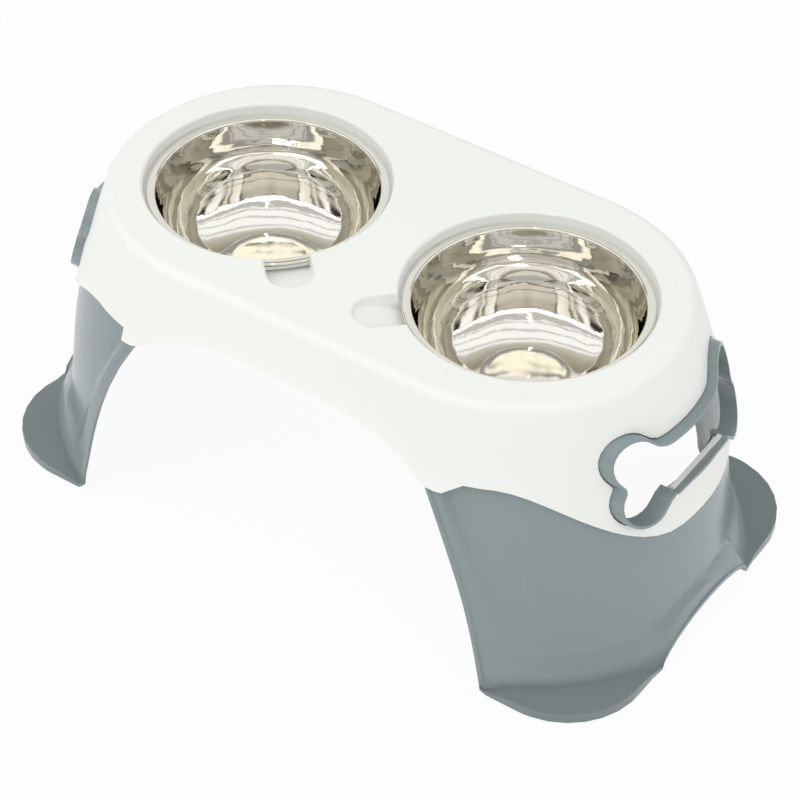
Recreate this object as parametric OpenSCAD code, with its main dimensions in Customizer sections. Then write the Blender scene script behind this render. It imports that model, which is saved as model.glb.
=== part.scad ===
// Raised feeding stand for two lift-out bowls.
// The floor is z = 0, X runs along the stand, Y from front to back, and the origin is under its middle.

/* [Stand] */
// Height of the deck above the floor
deck_h = 208; // [200:1:216]
// How much larger the radius of the flat deck is at each round end than that of a bowl
deck_margin = 25.5; // [24:0.5:28]
// How far the centre of a bowl stands outward of the centre of its round end
bowl_offset = 7.2; // [5.2:0.2:9.2]
// Radius of the soft shoulder round the deck
shoulder_r = 8.4; // [7:0.2:9.6]
// Wall of the moulded shell
shell_t = 2.2; // [1.8:0.1:2.6]
// Draft of the wall below the shoulder, in degrees
upper_draft = 17.5; // [16:0.5:18.5]
// Draft of the wall near the floor, in degrees
lower_draft = 6.5; // [5:0.5:8]

/* [Arch and seam] */
// Height of the deck above the middle of the front and back arches
arch_drop = 33.5; // [30:0.5:38]
// Height of the middle of an arch above the ends of the shell beside it
arch_rise = 25; // [23:0.5:28]
// How far an arch reaches past the centre of a round end, where the shell ends
arch_reach = 18.5; // [15.5:0.5:21.5]
// Height of the seam beside an arch above the end of the shell
seam_rise = 6.5; // [4.5:0.5:8.5]
// Height from that seam down to the lowest point of the apron under the handle
apron_drop = 57; // [54:0.5:62]
// Width of the flared hem along an arch
hem_w = 14; // [10:0.5:16]
// How far the hem of the shell stands out
hem_flare = 3.5; // [2:0.1:4.5]

/* [Bowls] */
// Diameter over the rim of a bowl
bowl_d = 160; // [152:0.5:168]
// Distance between the rims of the two bowls
bowl_gap = 43.4; // [40:0.2:46]
// Depth inside a bowl
bowl_depth = 64; // [56:1:70]
// Width of the flat rim of a bowl
rim_w = 6; // [4.5:0.25:7]
// Thickness of the steel
steel_t = 1; // [0.8:0.1:1.4]
// Radius of the deep curve inside, from the wall of a bowl to its small flat floor
bowl_corner_r = 46; // [36:1:48]
// Depth of the rim of a bowl below the deck
rim_drop = 7; // [5:0.25:9]

/* [Legs] */
// Wall of the moulded legs
leg_t = 2.4; // [2:0.1:3]
// How far the foot flanges stand out of the wall at the ends
foot_out = 1.6; // [0.6:0.2:4]
// Corner radius of the outline round the feet
foot_corner_r = 56; // [50:1:62]
// Height of the turned-down edge of a foot flange
foot_edge_h = 7.5; // [5:0.25:9]
// Height of the low arch at each end
end_arch_h = 20; // [14:0.5:26]
// Half the width of the low arch at each end
end_arch_half_w = 53.5; // [46:0.5:58]
// Height over which the wall sweeps out to the feet
foot_sweep_h = 26; // [18:0.5:32]
// How far the border of a leg stands out of its sunk panel
leg_flare = 4; // [3.2:0.1:4.6]
// Width of that border at the arch, at the seam
border_top_w = 10; // [8:0.5:12]
// Width of that border at the arch, at the foot
border_low_w = 19; // [14:0.5:22]
// Height of that border over the feet
border_foot_h = 25; // [20:0.5:30]
// Width of that border round the low arches
border_end_w = 13; // [10:0.5:15]

/* [Bone handle] */
// Height of the deck above the middle of the handle
handle_drop = 59.5; // [57.5:0.5:62]
// Length between the centres of the knobs
knob_pitch = 104; // [101:0.5:107]
// Height between the centres of the knobs
knob_rise = 27; // [25:0.5:29]
// Radius of a knob
knob_r = 18.4; // [17.8:0.1:19]
// Height of the straight middle
shaft_h = 37; // [35:0.5:39]
// How far the collar stands out of the shell
collar_out = 6.4; // [4:0.2:8]
// Wall of the collar
collar_t = 2; // [1.6:0.1:2.6]
// Gap between the collar and the shell
collar_gap = 0.8; // [0.5:0.1:1.1]

/* [Pads] */
// Diameter of a non-slip pad
pad_d = 18; // [12:0.5:20]
// How far the non-slip pads stand out below the feet
pad_t = 1.5; // [1:0.1:2.5]

/* [Hidden] */
$fn = 96;
// One overrun serves every cut
cut = 1;
// Clearance between nested curved walls, and between pieces that rest on one another
fit_gap = 0.3;
seat_gap = 0.3;

bowl_r = bowl_d / 2;
bowl_x = bowl_r + bowl_gap / 2;
end_x = bowl_x - bowl_offset;
deck_r = bowl_r + deck_margin;
rim_h = deck_h - rim_drop;
arch_h = deck_h - arch_drop;
arch_side_h = arch_h - arch_rise;
arch_half_w = end_x + arch_reach;
seam_h = arch_side_h + seam_rise;
apron_h = seam_h - apron_drop;
handle_h = deck_h - handle_drop;

// Steps along the outlines and down the walls
arc_steps = 16;
side_steps = 7;
shoulder_steps = 4;
inner_step_share = [0, 0.5, 1];
wall_share = [0.14, 0.3, 0.46, 0.62, 0.76, 0.86, 0.94, 1];

// Profile of the outer wall, as a radius about the centre of an end
shoulder_sweep = 90 - upper_draft;
skirt_top_h = deck_h - shoulder_r * (1 - cos(shoulder_sweep));
skirt_top_r = deck_r + shoulder_r * sin(shoulder_sweep);
bend_start = 45;
bend_len = 65;
function skirt_gain(drop) =
    let (a = min(drop, bend_start))
    let (b = min(max(drop - bend_start, 0), bend_len))
    let (c = max(drop - bend_start - bend_len, 0))
    let (turn = tan(upper_draft) - tan(lower_draft))
    (a + b) * tan(upper_draft) - b * b / bend_len / 2 * turn + c * tan(lower_draft);
function skirt_r(h) = skirt_top_r + skirt_gain(max(skirt_top_h - h, 0));
function leg_r(h) = skirt_r(h) - shell_t - fit_gap;

// Lower edge of the shell: arch, hem, seam and apron
arch_power = 3.5;
function arch_edge(x) = arch_h - (arch_h - arch_side_h) * pow(x / arch_half_w, arch_power);
seam_az = acos(arch_reach / skirt_r(arch_side_h));
hem_turn_share = 0.75;
hem_az = asin(hem_w / skirt_r(arch_side_h)) * hem_turn_share;
jog_az = 1;
long_jog_az = 5.5;
apron_start_az = 64;
apron_end_az = 9;
function smooth(t) = let (k = min(max(t, 0), 1)) k * k * (3 - 2 * k);
function seam_edge(az) =
    seam_h - (seam_h - apron_h) * smooth((apron_start_az - az) / (apron_start_az - apron_end_az));
function shell_edge(x, az) =
    az >= seam_az ? arch_edge(min(abs(x) + skirt_r(arch_h) * cos(az), arch_half_w)) :
    az >= seam_az - hem_az ? arch_side_h : seam_edge(az);
seam_flare = 1.2;
seam_hem_h = 9;

// A column of the shell: place of its centre on the X axis, azimuth, azimuth from the X axis
hem_az_list = [seam_az - hem_az, (seam_az - hem_az / 2), seam_az];
function quarter_az(jog) =
    let (low_az = seam_az - hem_az - jog)
    concat([for (k = [0:arc_steps]) low_az * k / arc_steps], hem_az_list, [(seam_az + 90) / 2]);
function reversed(list) = [for (k = [1:len(list)]) list[len(list) - k]];
function drop_ends(list, a, b) = [for (k = [a:len(list) - 1 - b]) list[k]];
side_xs = [for (k = [-side_steps:side_steps]) end_x * k / side_steps];
shell_cols = concat(
    [for (a = quarter_az(jog_az)) [end_x, a, a]],
    [for (x = side_xs) [-x, 90, 90]],
    [for (a = reversed(quarter_az(long_jog_az))) [-end_x, 180 - a, a]],
    [for (a = drop_ends(quarter_az(jog_az), 1, 0)) [-end_x, 180 + a, a]],
    [for (x = side_xs) [x, 270, 90]],
    [for (a = reversed(drop_ends(quarter_az(long_jog_az), 1, 0))) [end_x, -a, a]]);

function place(col, r, h) = [col[0] + r * cos(col[1]), r * sin(col[1]), h];
function col_edge(col) = shell_edge(col[0], col[2]);
function col_flare(col, h) =
    let (on_arch = col[2] >= seam_az - hem_az)
    let (reach = (h - col_edge(col)) / (on_arch ? hem_w : seam_hem_h))
    (on_arch ? hem_flare : seam_flare) * pow(max(1 - reach, 0), 2);
function shell_out(col, h) = place(col, skirt_r(h) + col_flare(col, h), h);
function shell_in(col, h) = place(col, skirt_r(h) + col_flare(col, h) - shell_t, h);
function wall_h(col, share) = skirt_top_h + (col_edge(col) - skirt_top_h) * share;
// Deck edge of the shell, as a ring below the deck by the thickness in
function shoulder_pt(col, turn, in) =
    place(col, deck_r + (shoulder_r - in) * sin(turn), deck_h - in - (shoulder_r - in) * (1 - cos(turn)));

// Closed solid through rings of equal length, with flat ends
module ring_loft(rings) {
    n = len(rings[0]);
    m = len(rings);
    sides = [for (j = [0:m - 2]) for (i = [0:n - 1])
        let (a = j * n + i, b = j * n + (i + 1) % n)
        [a, b, b + n, a + n]];
    first_cap = [for (i = [n - 1:-1:0]) i];
    last_cap = [for (i = [0:n - 1]) (m - 1) * n + i];
    polyhedron(concat([for (r = rings) each r]), concat(sides, [first_cap], [last_cap]), 12);
}

// Outline of the bone, grown by g, from arcs about fixed centres
knob_x = knob_pitch / 2;
knob_y = knob_rise / 2;
waist_r = 3.4;
shaft_fillet_r = 17;
waist_x = knob_x + sqrt(pow(knob_r + waist_r, 2) - knob_y * knob_y);
shaft_fillet_y = shaft_h / 2 + shaft_fillet_r;
shaft_fillet_x = knob_x - sqrt(pow(knob_r + shaft_fillet_r, 2) - pow(shaft_fillet_y - knob_y, 2));
waist_turn = atan2(knob_y, waist_x - knob_x);
shaft_turn = atan2(shaft_fillet_y - knob_y, shaft_fillet_x - knob_x);
function arc(cx, cy, r, from, to, n) =
    [for (k = [0:n]) let (a = from + (to - from) * k / n) [cx + r * cos(a), cy + r * sin(a)]];
function bone_quarter(g) = concat(
    arc(waist_x, 0, waist_r - g, 180, 180 - waist_turn, 2),
    arc(knob_x, knob_y, knob_r + g, -waist_turn, shaft_turn, 12),
    arc(shaft_fillet_x, shaft_fillet_y, shaft_fillet_r - g, shaft_turn - 180, -90, 3));
function flip(list) = [for (p = reversed(list)) [-p[0], p[1]]];
function turn_over(list) = [for (p = list) [-p[0], -p[1]]];
function bone_points(g) =
    let (q = bone_quarter(g))
    let (top = concat(q, flip(q)))
    concat(drop_ends(top, 0, 1), drop_ends(turn_over(top), 0, 1));

// The bone shape pushed through the wall at the right-hand end
module bone_bar(g, from_x, to_x) {
    translate([from_x, 0, handle_h])
        rotate([90, 0, 90])
            linear_extrude(to_x - from_x)
                polygon(bone_points(g));
}
handle_in_x = end_x + deck_r / 2;
handle_out_x = end_x + leg_r(pad_t) + foot_out + collar_out;
shaft_low_h = handle_h - shaft_h / 2;

// Wall of revolution about the right-hand end, from the profile moved out by a and b
profile_hs = [for (k = [0:8]) apron_h + (deck_h - shoulder_r - apron_h) * k / 8];
module end_layer(a, b) {
    translate([end_x, 0, 0])
        rotate([0, 0, -90])
            rotate_extrude(angle = 180)
                polygon(concat(
                    [for (h = profile_hs) [skirt_r(h) + b, h]],
                    [for (h = reversed(profile_hs)) [skirt_r(h) + a, h]]));
}

module both_ends() {
    children();
    rotate([0, 0, 180]) children();
}

module at_bowls() {
    for (s = [-1, 1])
        translate([s * bowl_x, 0, 0])
            children();
}

// Snap fit under the handle: a tab of the shell stands behind a bar of the collar
bar_w = 4.4;
bar_half_w = 30;
bar_bow_r = 500;
bar_front_x = end_x + skirt_r(shaft_low_h) + collar_out - collar_gap;
tab_t = 3.2;
tab_gap = 0.4;
tab_rise = 1;
tab_half_w = 29;
tab_front_x = bar_front_x - bar_w - tab_gap;
tab_low_h = shaft_low_h - shell_t;
tab_top_h = shaft_low_h + collar_gap + collar_t + tab_rise;

// Shell
seat_clear = 2;
seat_edge_r = 2;
seat_lap = 4;
seat_r = bowl_r + seat_clear;
seat_in_r = bowl_r - seat_lap;
curl_r = 1.1;
seat_h = rim_h - 2 * curl_r - seat_gap;
ring_wall_h = 16;
ring_low_h = deck_h - rim_drop - ring_wall_h;
notch_az = 45;
notch_w = 30;
notch_reach = 30;
notch_slope = 18;
notch_depth = 3.2;
groove_out = 11.1;
groove_r = seat_r + groove_out;
groove_w = 7;
groove_d = 0.5;
groove_arc_r = (groove_w * groove_w / 4 + groove_d * groove_d) / (2 * groove_d);
rib_t = 2;
rib_d = 10;
rib_pitch = 12;
rib_half_l = deck_r + shell_t;
rest_rib_azs = [-60, -30, 30, 60];
rest_rib_in = 4.5;
rest_rib_out = 4;

// Top of the legs, which the shell rests on
leg_top_drop = 9.4;
sheet_top_h = deck_h - leg_top_drop;
rest_rib_h = deck_h - shell_t / 2 - sheet_top_h - seat_gap;

module shell_body() {
    rings = concat(
        [for (k = [0:shoulder_steps])
            [for (c = shell_cols) shoulder_pt(c, shoulder_sweep * k / shoulder_steps, 0)]],
        [for (s = wall_share) [for (c = shell_cols) shell_out(c, wall_h(c, s))]],
        [for (s = reversed(wall_share)) [for (c = shell_cols) shell_in(c, wall_h(c, s))]],
        [for (s = inner_step_share)
            [for (c = shell_cols) shoulder_pt(c, shoulder_sweep * (1 - s), shell_t)]]);
    ring_loft(rings);
}

module bowl_seat() {
    translate([0, 0, ring_low_h])
        cylinder(h = deck_h - shell_t / 2 - ring_low_h, r = seat_r + shell_t);
}

// Section of what a rounded edge takes off, outward from a wall and down from the deck
module edge_section() {
    difference() {
        translate([-cut, -seat_edge_r])
            square([seat_edge_r + cut, seat_edge_r + cut]);
        translate([seat_edge_r, -seat_edge_r])
            circle(seat_edge_r, $fn = 48);
    }
}

module rim_space() {
    rotate_extrude()
        union() {
            translate([0, seat_h])
                square([seat_r, deck_h - seat_h + cut]);
            translate([seat_r, deck_h])
                edge_section();
        }
}

module bowl_opening() {
    rim_space();
    translate([0, 0, ring_low_h - cut])
        cylinder(h = deck_h - ring_low_h + cut, r = seat_in_r);
    translate([0, 0, ring_low_h - cut])
        cylinder(h = seat_h - shell_t - ring_low_h + cut, r = seat_r);
}

// Slot with a round end and a sloping floor, which runs from under the rim of a bowl out over the deck
notch_in = 2 * seat_lap;
notch_end = notch_reach - notch_w / 2;
module notch_slot(grow, drop) {
    rotate([0, 0, -notch_az])
        translate([seat_r, 0, 0])
            intersection() {
                translate([0, 0, ring_low_h])
                    linear_extrude(deck_h + cut - ring_low_h)
                        union() {
                            translate([-notch_in, -notch_w / 2 - grow])
                                square([notch_end + notch_in, notch_w + 2 * grow]);
                            translate([notch_end, 0])
                                circle(notch_w / 2 + grow);
                        }
                translate([0, 0, seat_h - notch_depth - drop])
                    rotate([0, -notch_slope, 0])
                        translate([-notch_reach, -notch_w, 0])
                            cube([3 * notch_reach, 2 * notch_w, 2 * ring_wall_h]);
            }
}

// Rounded top edge of a finger recess
module notch_edge() {
    rotate([0, 0, -notch_az])
        translate([seat_r, 0, deck_h]) {
            translate([notch_end, 0, 0])
                rotate([0, 0, -90])
                    rotate_extrude(angle = 180)
                        translate([notch_w / 2, 0])
                            edge_section();
            for (side = [0, 1])
                mirror([0, side, 0])
                    translate([-notch_in, notch_w / 2, 0])
                        rotate([90, 0, 90])
                            linear_extrude(notch_end + notch_in)
                                edge_section();
        }
}

module at_notches() {
    translate([-bowl_x, 0, 0])
        children();
    translate([bowl_x, 0, 0])
        mirror([1, 0, 0])
            children();
}

// Floor and sides of a finger recess, below the top of the deck
module notch_block() {
    difference() {
        intersection() {
            notch_slot(shell_t, shell_t);
            translate([0, -deck_r, ring_low_h])
                cube([deck_r, deck_r, deck_h - shell_t / 2 - ring_low_h]);
        }
        translate([0, 0, ring_low_h - cut])
            cylinder(h = deck_h - ring_low_h + 2 * cut, r = seat_in_r);
    }
}

module deck_groove() {
    translate([bowl_x, 0, deck_h - groove_d])
        rotate([0, 0, -90])
            rotate_extrude(angle = 180)
                translate([groove_r, groove_arc_r])
                    circle(groove_arc_r);
}

module cross_ribs() {
    for (k = [-1, 0, 1])
        translate([k * rib_pitch - rib_t / 2, -rib_half_l, deck_h - shell_t - rib_d])
            cube([rib_t, 2 * rib_half_l, rib_d + shell_t / 2]);
}

// Short ribs under the deck, which stand on the top of a leg
module rest_ribs() {
    for (a = rest_rib_azs)
        translate([end_x, 0, sheet_top_h + seat_gap])
            rotate([0, 0, a])
                translate([deck_r - rest_rib_in, -rib_t / 2, 0])
                    cube([rest_rib_in + rest_rib_out, rib_t, rest_rib_h]);
}

module snap_tab() {
    intersection() {
        union() {
            translate([end_x, -tab_half_w, tab_low_h])
                cube([tab_front_x - end_x, 2 * tab_half_w, shell_t]);
            translate([tab_front_x - tab_t, -tab_half_w, tab_low_h])
                cube([tab_t, 2 * tab_half_w, tab_top_h - tab_low_h]);
        }
        end_layer(-shell_t, 2 * collar_out);
    }
}

module shell() {
    color("whitesmoke") {
        difference() {
            union() {
                difference() {
                    union() {
                        shell_body();
                        at_bowls() bowl_seat();
                    }
                    at_bowls() bowl_opening();
                }
                at_notches() notch_block();
                cross_ribs();
                both_ends() rest_ribs();
            }
            at_bowls() rim_space();
            at_notches() notch_slot(0, 0);
            at_notches() notch_edge();
            both_ends() deck_groove();
            both_ends() bone_bar(0, handle_in_x, handle_out_x);
        }
        both_ends() snap_tab();
    }
}

// Legs
foot_half_l = leg_r(pad_t) + foot_out;
ledge_h = arch_side_h - fit_gap;
lip_w = 1.2;
lip_h = 3;
lip_fade_h = 14;
edge_ramp_az = 9;
tip_lean = 49.5;
lean_linear_share = 0.6;
function foot_outline_r(az) =
    let (cx = foot_half_l - foot_corner_r, cy = foot_half_w - foot_corner_r)
    let (a = abs(az))
    let (along = cx * cos(a) + cy * sin(a))
    foot_half_l * sin(a) <= cy * cos(a) ? foot_half_l / cos(a) :
    foot_half_w * cos(a) <= cx * sin(a) ? foot_half_w / sin(a) :
    along + sqrt(along * along - cx * cx - cy * cy + foot_corner_r * foot_corner_r);
tip_r = leg_r(pad_t) + leg_flare;
tip_az = acos((arch_reach + tip_lean) / tip_r);
foot_half_w = tip_r * sin(tip_az);
end_tip_az = atan(end_arch_half_w / foot_half_l);
end_tip_r = foot_half_l / cos(end_tip_az);

// Azimuth of the arch edge of a leg at a height
function lean(h) =
    let (k = min(max((h - pad_t) / (ledge_h - pad_t), 0), 1))
    tip_lean * (lean_linear_share * k + (1 - lean_linear_share) * k * k * k);
function side_az(h) = acos((arch_reach + tip_lean - lean(h)) / (leg_r(h) + leg_flare));
tip_corner_r = 4;
function foot_edge(az) =
    let (from_tip = (tip_az - abs(az)) * PI / 180 * tip_r)
    let (inset = max(tip_corner_r - from_tip, 0))
    abs(az) < end_tip_az ? pad_t + (end_arch_h - pad_t) * sqrt(1 - pow(az / end_tip_az, 2)) :
    pad_t + tip_corner_r - sqrt(tip_corner_r * tip_corner_r - inset * inset);
function crease_r(az) =
    abs(az) <= end_tip_az ? foot_half_l / cos(az) :
    tip_r + (end_tip_r - tip_r) * (tip_az - abs(az)) / (tip_az - end_tip_az);

// Azimuths of the columns of a leg along its lower edge, from the middle of the end to the arch
end_cols = 6;
foot_cols = 9;
hem_share = [0.14, 0.28, 0.4, 0.5, 0.59, 0.68, 0.78];
leg_hem_az = 11;
side_lip_az = 1;
side_lip_run_az = 0.35;
half_az = concat(
    [for (k = [0:end_cols]) end_tip_az * sin(90 * k / end_cols)],
    [for (k = [1:foot_cols]) end_tip_az + (tip_az - leg_hem_az - end_tip_az) * k / foot_cols],
    [for (s = hem_share) tip_az - leg_hem_az * (1 - s)],
    [tip_az - side_lip_az - side_lip_run_az, tip_az - side_lip_az, tip_az]);
leg_azs = concat([for (a = reversed(drop_ends(half_az, 1, 0))) -a], half_az);
upper_share = [1, 0.75, 0.5, 0.25, 0];
lower_share = [0.15, 0.3, 0.44, 0.56, 0.66, 0.73, 0.79, 0.84, 0.885, 0.925, 0.965, 1];
ledge_run = 0.3;
ledge_t = 3;
ledge_in = 5.5;
ledge_half_az = 62;
leg_in = shell_t + fit_gap + leg_t;

function col_az(az, h) =
    let (k = smooth((abs(az) - end_tip_az) / (tip_az - end_tip_az)))
    sign(az) * (abs(az) + (side_az(h) - tip_az) * k);
// Height of the outer edge: a low lip along the arches, the full turned-down edge round a foot
function edge_h(az) =
    let (k = min(tip_az - abs(az), abs(az) - end_tip_az) / edge_ramp_az)
    lip_h + (foot_edge_h - lip_h) * smooth(k);
sweep_top_h = pad_t + foot_edge_h + foot_sweep_h;
function sweep_flare(az, h) =
    let (edge = foot_edge(az) + edge_h(az))
    let (k = (h - edge) / (sweep_top_h - edge))
    (crease_r(az) - leg_r(edge) - leg_flare) * pow(max(1 - k, 0), 2);
// Distance from the low arch at the end, along a line through its middle
function end_gap(az, h) =
    let (y = abs(az) * PI / 180 * foot_half_l, z = h - pad_t)
    norm([y, z]) - norm([y, z]) / max(norm([y / end_arch_half_w, z / (end_arch_h - pad_t)]), 0.1);
// The sunk panel of a leg ends where the nearness to its arches and foot passes a set share
border_w_share = 0.5;
border_run_share = 0.26;
function border(az, h) =
    let (gap = (side_az(h) - abs(col_az(az, h))) * PI / 180 * leg_r(h))
    let (k = min(max((h - pad_t) / (ledge_h - pad_t), 0), 1))
    let (side_w = (border_low_w + (border_top_w - border_low_w) * k) / border_w_share)
    let (side = max(1 - gap / side_w, 0))
    let (foot = max(1 - (h - pad_t) * border_w_share / border_foot_h, 0))
    let (end = max(1 - end_gap(az, h) * border_w_share / border_end_w, 0))
    let (near = norm([side, foot, end]))
    h > ledge_h ? 0 : leg_flare * smooth((near - border_w_share) / border_run_share + border_w_share);
function side_lip(az, h) = h > ledge_h ? 0 :
    lip_w * smooth((h - pad_t - lip_h) / lip_fade_h)
        * min(max((side_lip_az + side_lip_run_az - tip_az + abs(az)) / side_lip_run_az, 0), 1);
function leg_out_r(az, h) = leg_r(h) + border(az, h) + sweep_flare(az, h) + side_lip(az, h);
function leg_pt(az, h, r) = let (a = col_az(az, h)) [end_x + r * cos(a), r * sin(a), h];
function upper_h(share) = ledge_h + ledge_run + (sheet_top_h - ledge_h - ledge_run) * share;
function lower_h(az, share) = ledge_h + (foot_edge(az) + edge_h(az) - ledge_h) * share;
function flange_r(az) = max(foot_outline_r(az), leg_out_r(az, lower_h(az, 1)) + lip_w);

// Closed solid of a thick sheet: the outer rows downward, then as many inner rows upward
module sheet_loft(rows) {
    n = len(rows[0]);
    m = len(rows);
    walls = [for (j = [0:m - 1]) for (i = [0:n - 2])
        let (a = j * n + i, b = ((j + 1) % m) * n + i)
        [a, a + 1, b + 1, b]];
    strips = [for (j = [0:m / 2 - 2]) [j, j + 1, m - 2 - j, m - 1 - j]];
    first_end = [for (q = strips) [for (j = q) j * n]];
    last_end = [for (q = strips) [for (k = [3:-1:0]) q[k] * n + n - 1]];
    polyhedron(concat([for (r = rows) each r]), concat(walls, first_end, last_end), 12);
}

// Rows of one face of a leg, from its top to the crease above the flange; in is the depth in the wall
function wall_rows(in) = concat(
    [for (s = upper_share) [for (az = leg_azs) leg_pt(az, upper_h(s), leg_out_r(az, upper_h(s)) - in)]],
    [[for (az = leg_azs) leg_pt(az, ledge_h, leg_out_r(az, ledge_h) - in)]],
    [for (s = drop_ends(lower_share, 0, 1))
        [for (az = leg_azs) leg_pt(az, lower_h(az, s), leg_out_r(az, lower_h(az, s)) - in)]],
    [[for (az = leg_azs) leg_pt(az, lower_h(az, 1) - in, leg_out_r(az, lower_h(az, 1)) - in)]]);
function edge_rows(in) = [
    [for (az = leg_azs) leg_pt(az, lower_h(az, 1) - in, flange_r(az) - in)],
    [for (az = leg_azs) leg_pt(az, foot_edge(az), flange_r(az) - in)]];

module leg_sheet() {
    sheet_loft(concat(wall_rows(0), edge_rows(0), reversed(concat(wall_rows(leg_t), edge_rows(leg_t)))));
}

// Rim round the hand hole, with a straight bar along its lower edge
module bone_collar() {
    intersection() {
        bone_bar(-collar_gap, handle_in_x, handle_out_x);
        end_layer(fit_gap / 2 - leg_in, collar_out);
    }
}

module collar_bar() {
    intersection() {
        translate([bar_front_x - bar_w, -bar_half_w, shaft_low_h + collar_gap])
            cube([bar_w, 2 * bar_half_w, collar_t]);
        translate([bar_front_x - bar_bow_r, 0, shaft_low_h])
            cylinder(h = 2 * collar_out, r = bar_bow_r);
    }
}

module tab_space() {
    translate([end_x, -tab_half_w - collar_gap, tab_low_h - tab_gap])
        cube([bar_front_x - bar_w - end_x, 2 * (tab_half_w + collar_gap), shaft_h / 2]);
}

// Flat ledge inside the top of a leg, under the ribs of the shell
module top_ledge() {
    translate([end_x, 0, sheet_top_h - ledge_t])
        rotate([0, 0, -ledge_half_az])
            rotate_extrude(angle = 2 * ledge_half_az)
                translate([deck_r - ledge_in, 0])
                    square([leg_r(sheet_top_h) - leg_t / 2 - deck_r + ledge_in, ledge_t]);
}

module leg_part() {
    difference() {
        union() {
            leg_sheet();
            bone_collar();
            top_ledge();
        }
        bone_bar(-collar_gap - collar_t, handle_in_x, handle_out_x);
        tab_space();
    }
    collar_bar();
}

module leg_right() {
    color("slategray") leg_part();
}

module leg_left() {
    color("slategray") rotate([0, 0, 180]) leg_part();
}

// Bowls
wall_draft = 7;
rim_edge_r = 1.6;
function bowl_inner(t) =
    let (mouth_r = bowl_r - rim_w)
    let (turn_x = mouth_r + rim_edge_r, turn_z = rim_h - rim_edge_r)
    let (floor_h = rim_h - bowl_depth)
    let (corner_z = floor_h + bowl_corner_r)
    let (wall_top_x = turn_x - rim_edge_r * cos(wall_draft))
    let (corner_x = wall_top_x - (turn_z - corner_z) * tan(wall_draft) - bowl_corner_r / cos(wall_draft))
    concat(
        arc(turn_x, turn_z, rim_edge_r - t, 90, 180 - wall_draft, 4),
        arc(corner_x, corner_z, bowl_corner_r + t, -wall_draft, -90, 12));

module bowl() {
    inner = bowl_inner(0);
    outer = bowl_inner(steel_t);
    floor_h = rim_h - bowl_depth;
    rotate_extrude()
        polygon(concat([[0, floor_h]],
            [for (k = [1:len(inner)]) inner[len(inner) - k]],
            [[bowl_r - curl_r, rim_h], [bowl_r - curl_r, rim_h - steel_t]],
            outer,
            [[0, floor_h - steel_t]]));
    rotate_extrude()
        translate([bowl_r - curl_r, rim_h - curl_r])
            circle(curl_r, $fn = 24);
}

module bowl_left() {
    color("silver") translate([-bowl_x, 0, 0]) bowl();
}

module bowl_right() {
    color("silver") translate([bowl_x, 0, 0]) bowl();
}

// Pads, glued in the hollow under the foot flanges
pad_az = 38;
pad_room = 1;
pad_r = foot_outline_r(pad_az) - leg_t - pad_room - pad_d / 2;
module pad() {
    color("gainsboro")
        translate([end_x + pad_r * cos(pad_az), pad_r * sin(pad_az), 0])
            cylinder(h = pad_t + foot_edge_h - leg_t, d = pad_d);
}

module pad_back_right() {
    pad();
}

module pad_front_right() {
    mirror([0, 1, 0]) pad();
}

module pad_back_left() {
    mirror([1, 0, 0]) pad();
}

module pad_front_left() {
    rotate([0, 0, 180]) pad();
}

shell();
leg_left();
leg_right();
bowl_left();
bowl_right();
pad_front_left();
pad_front_right();
pad_back_left();
pad_back_right();
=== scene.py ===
"""Raised feeding stand with two lift-out bowls: finished pieces, materials, light and camera."""

import math

import bmesh
import bpy
from bpy.props import FloatProperty, FloatVectorProperty, IntProperty, PointerProperty
from mathutils import Matrix, Vector


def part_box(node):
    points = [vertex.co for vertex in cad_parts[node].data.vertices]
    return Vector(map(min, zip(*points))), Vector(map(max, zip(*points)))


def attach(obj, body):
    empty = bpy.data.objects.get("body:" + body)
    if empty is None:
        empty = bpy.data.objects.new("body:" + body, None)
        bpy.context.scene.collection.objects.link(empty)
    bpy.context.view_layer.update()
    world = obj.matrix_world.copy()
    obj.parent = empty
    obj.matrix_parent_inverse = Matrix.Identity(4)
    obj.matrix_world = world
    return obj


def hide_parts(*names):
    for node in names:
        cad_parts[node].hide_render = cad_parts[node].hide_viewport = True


bl_info = {
    "name": "Raised feeding stand",
    "version": (1, 0, 0),
    "blender": (4, 5, 0),
    "location": "View3D > Sidebar > Stand",
    "description": "Finishes the pieces of a raised feeding stand and lights it",
    "category": "Object",
}

MM = 0.001
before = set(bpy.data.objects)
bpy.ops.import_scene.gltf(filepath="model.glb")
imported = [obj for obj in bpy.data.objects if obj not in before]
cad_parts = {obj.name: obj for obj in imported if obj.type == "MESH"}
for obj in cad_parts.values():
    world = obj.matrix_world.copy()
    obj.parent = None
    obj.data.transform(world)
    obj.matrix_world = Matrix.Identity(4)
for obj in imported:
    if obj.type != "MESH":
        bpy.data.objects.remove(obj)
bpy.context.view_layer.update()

# The seats and bowls, read from the frame
LEFT_LOW, LEFT_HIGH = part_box("bowl_left")
RIGHT_LOW, RIGHT_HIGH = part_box("bowl_right")
BOWL_R = (RIGHT_HIGH.x - RIGHT_LOW.x) / 2
RIM_H = RIGHT_HIGH.z
BOWL_DEPTH = RIGHT_HIGH.z - RIGHT_LOW.z

# Points of a mesh that lie nearer than this are one point
JOIN_DISTANCE = 0.01 * MM

# Where faces count as flat, how edges are softened, and the sharp edges' angles in degrees
FLAT_ANGLE = math.radians(0.2)
SOFT_ANGLE = math.radians(32)
SOFT_STEPS = 3
SOFT_WEIGHT = 80
MOULDED_SHARP = 50
SPUN_SHARP = 40

# Height above the ground between which the painted shade on the feet fades out
PAINTED_SHADE_LOW = 8 * MM
PAINTED_SHADE_HIGH = 17 * MM

# Textures of the moulded plastic and of the steel, in repeats to the metre
FLOW_SCALE = 9.0
DUST_SCALE = 140.0
RING_SCALE = 260.0
WAVE_SCALE = 46.0
DENT_SCALE = 17.0
SMEAR_SCALE = 28.0
HAIR_SCALE = 45.0

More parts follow.
